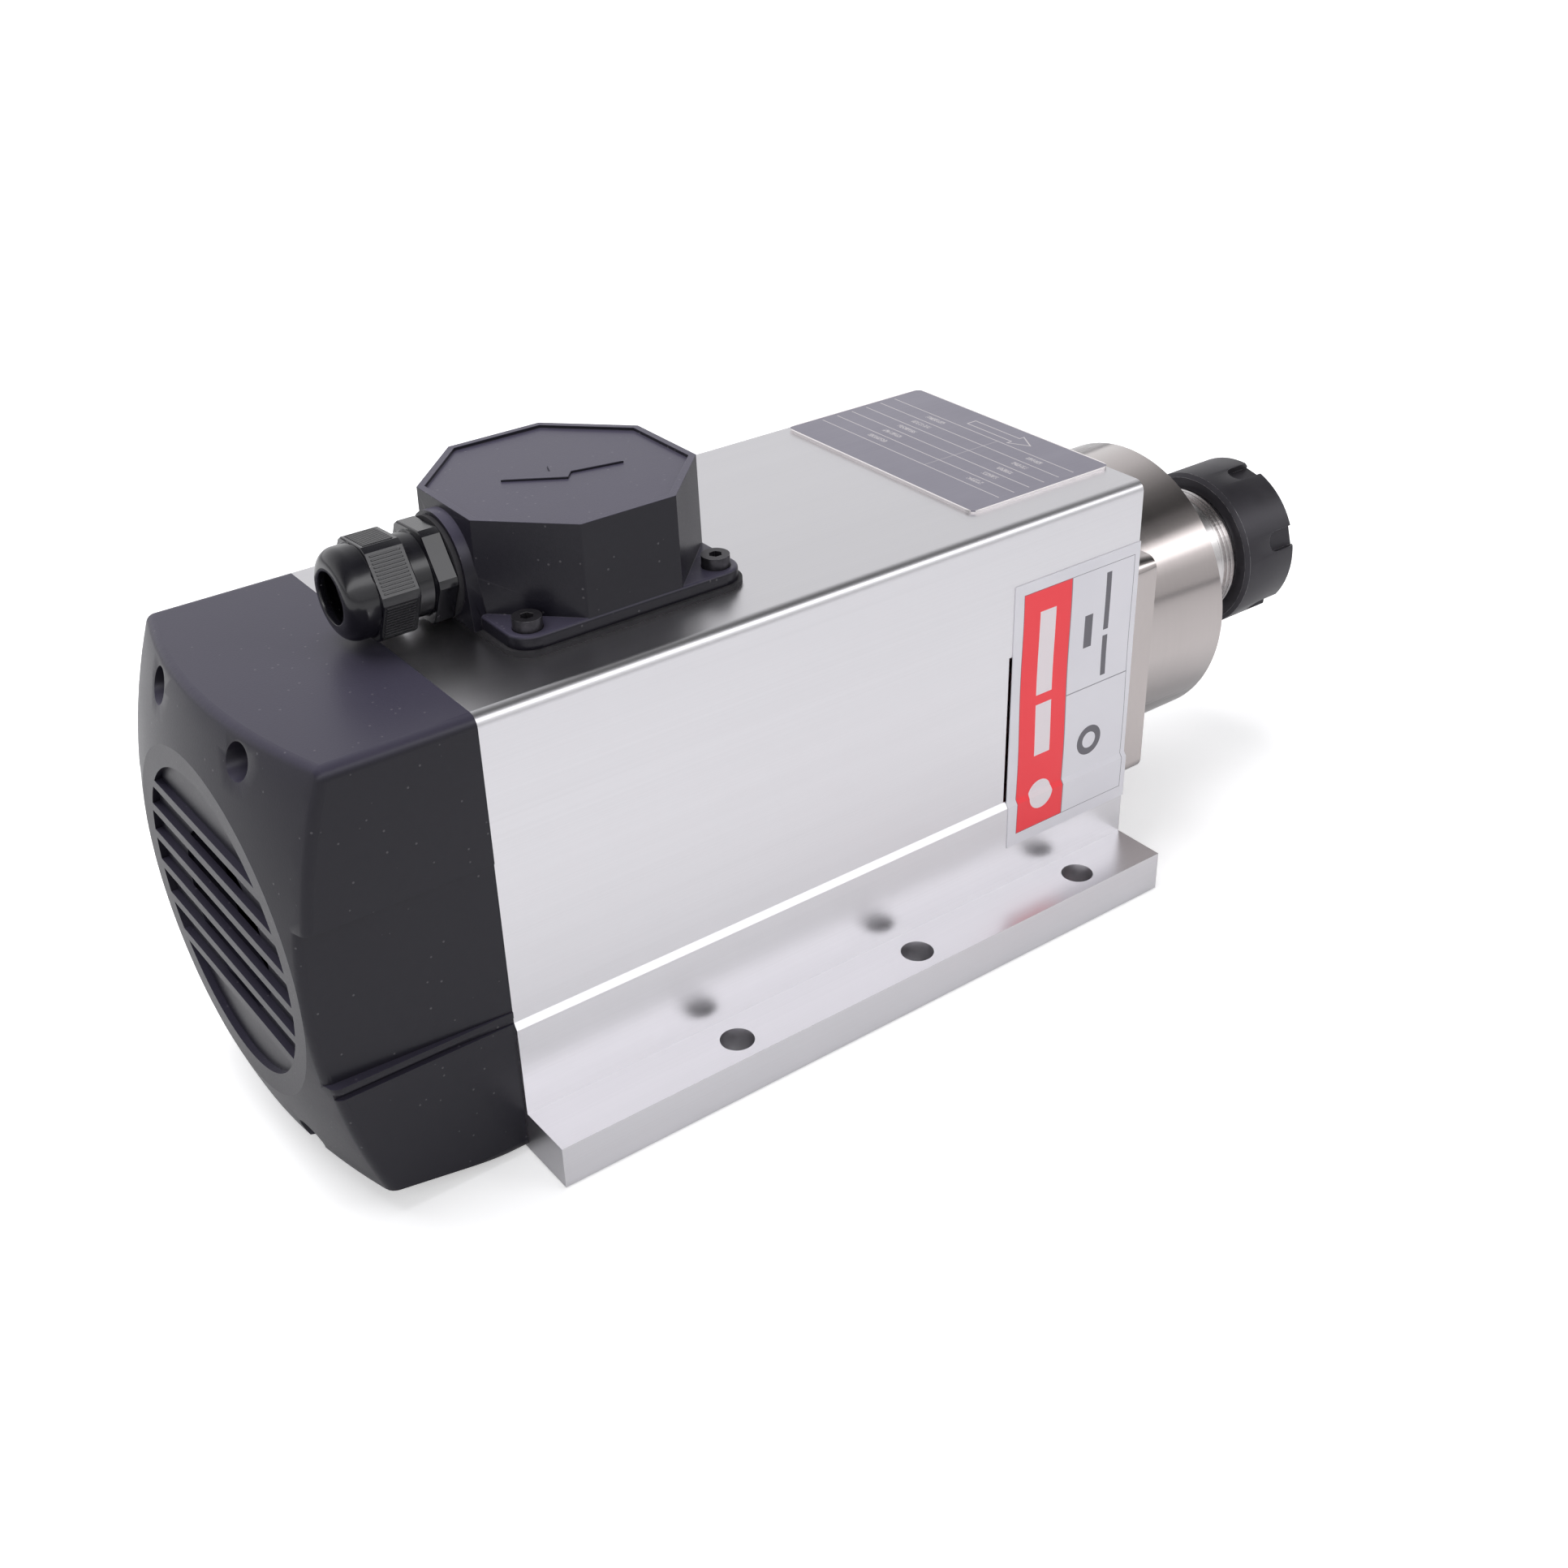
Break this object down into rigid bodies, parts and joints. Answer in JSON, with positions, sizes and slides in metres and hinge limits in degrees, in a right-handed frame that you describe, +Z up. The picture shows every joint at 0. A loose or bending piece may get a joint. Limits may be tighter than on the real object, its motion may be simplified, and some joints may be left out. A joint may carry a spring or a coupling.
{
  "type": "motor spindle",
  "caption": "Air-cooled square motor spindle: ducted aluminium body on a flanged base, domed fan cover, terminal box with cable gland, and a collet nose with a slotted clamping nut.",
  "frame": {"origin": "centre of the six-bolt pattern on the underside of the base", "axes": "+X along the shaft towards the collet nose, +Z up through the terminal box, +Y completes the set"},
  "size_m": [0.3545, 0.13, 0.1495],
  "materials": {
    "satin_aluminium": "clear-anodised satin extrusion",
    "nickel_steel": "turned and nickel plated",
    "bright_steel": "ground bright steel",
    "black_steel": "black oxide",
    "black_oxide": "black oxide, worn bright at its edges",
    "bearing_steel": "polished bearing steel",
    "lamination_steel": "stacked laminations",
    "cast_aluminium": "die cast, as cast",
    "copper": "enamelled copper, lacquered",
    "brass": "plain brass",
    "charcoal_plastic": "fine-grained moulding",
    "box_plastic": "fine-grained moulding",
    "cage_plastic": "moulded nylon",
    "gland_nylon": "glossy black nylon",
    "black_rubber": "soft black rubber",
    "anodised_plate": "dark printed sheet with a bare edge",
    "label_film": "printed self-adhesive film"
  },
  "bodies": {
    "housing": {"body_extrusion": "satin_aluminium", "front_housing": "nickel_steel", "front_housing_screws": "black_steel", "front_cap": "nickel_steel", "front_cap_screws": "black_steel", "front_bearing_outer_rings": "bearing_steel", "bearing_spacer_outer": "bright_steel", "rear_end_bell": "cast_aluminium", "rear_bell_screws": "black_steel", "rear_bearing_outer_ring": "bearing_steel", "wave_washer": "bright_steel", "rear_cover": "charcoal_plastic", "cover_screws": "black_steel", "stator_core": "lamination_steel", "stator_windings": "copper", "terminal_gasket": "black_rubber", "terminal_box": "box_plastic", "terminal_box_screws": "black_steel", "terminal_block": "cage_plastic", "terminal_studs": "brass", "terminal_block_screws": "bright_steel", "earth_screw": "brass", "gland_washer": "black_rubber", "gland_body": "gland_nylon", "gland_locknut": "gland_nylon", "gland_seal": "black_rubber", "nameplate": "anodised_plate", "side_label": "label_film"},
    "rotor": {"spindle_shaft": "bright_steel", "rotor_core": "lamination_steel", "rotor_end_rings": "cast_aluminium", "front_bearing_inner_rings": "bearing_steel", "bearing_spacer_inner": "bright_steel", "bearing_locknut": "bright_steel", "rear_bearing_inner_ring": "bearing_steel", "cooling_fan": "cage_plastic", "fan_circlip": "black_steel", "flinger_ring": "bright_steel"},
    "front_balls": {"front_bearing_balls": "bearing_steel", "front_bearing_cages": "cage_plastic"},
    "rear_balls": {"rear_bearing_balls": "bearing_steel", "rear_bearing_cage": "cage_plastic"},
    "collet": {"spring_collet": "bright_steel"},
    "nut": {"collet_nut": "black_oxide"},
    "gland_nut": {"gland_dome_nut": "gland_nylon"}
  },
  "joints": [
    {"name": "spindle_spin", "type": "hinge", "parent": "housing", "child": "rotor", "pos_m": [0, 0, 0.0635], "axis": [1, 0, 0], "continuous": true},
    {"name": "front_balls_orbit", "type": "hinge", "parent": "housing", "child": "front_balls", "pos_m": [0.107, 0, 0.0635], "axis": [1, 0, 0], "continuous": true},
    {"name": "rear_balls_orbit", "type": "hinge", "parent": "housing", "child": "rear_balls", "pos_m": [-0.1195, 0, 0.0635], "axis": [1, 0, 0], "continuous": true},
    {"name": "collet_slide", "type": "slide", "parent": "rotor", "child": "collet", "axis": [1, 0, 0], "range_m": [0, 0.0036]},
    {"name": "nut_turn", "type": "hinge", "parent": "collet", "child": "nut", "pos_m": [0.173, 0, 0.0635], "axis": [1, 0, 0], "range_deg": [0, 720]},
    {"name": "gland_nut_turn", "type": "hinge", "parent": "housing", "child": "gland_nut", "pos_m": [-0.117, 0, 0.1348], "axis": [-1, 0, 0], "range_deg": [0, 360]}
  ],
  "couplings": [
    {"joint": "front_balls_orbit", "follows": "spindle_spin", "ratio": 0.41},
    {"joint": "rear_balls_orbit", "follows": "spindle_spin", "ratio": 0.38},
    {"joint": "collet_slide", "follows": "nut_turn", "m_per_rad": 0.0002387}
  ]
}
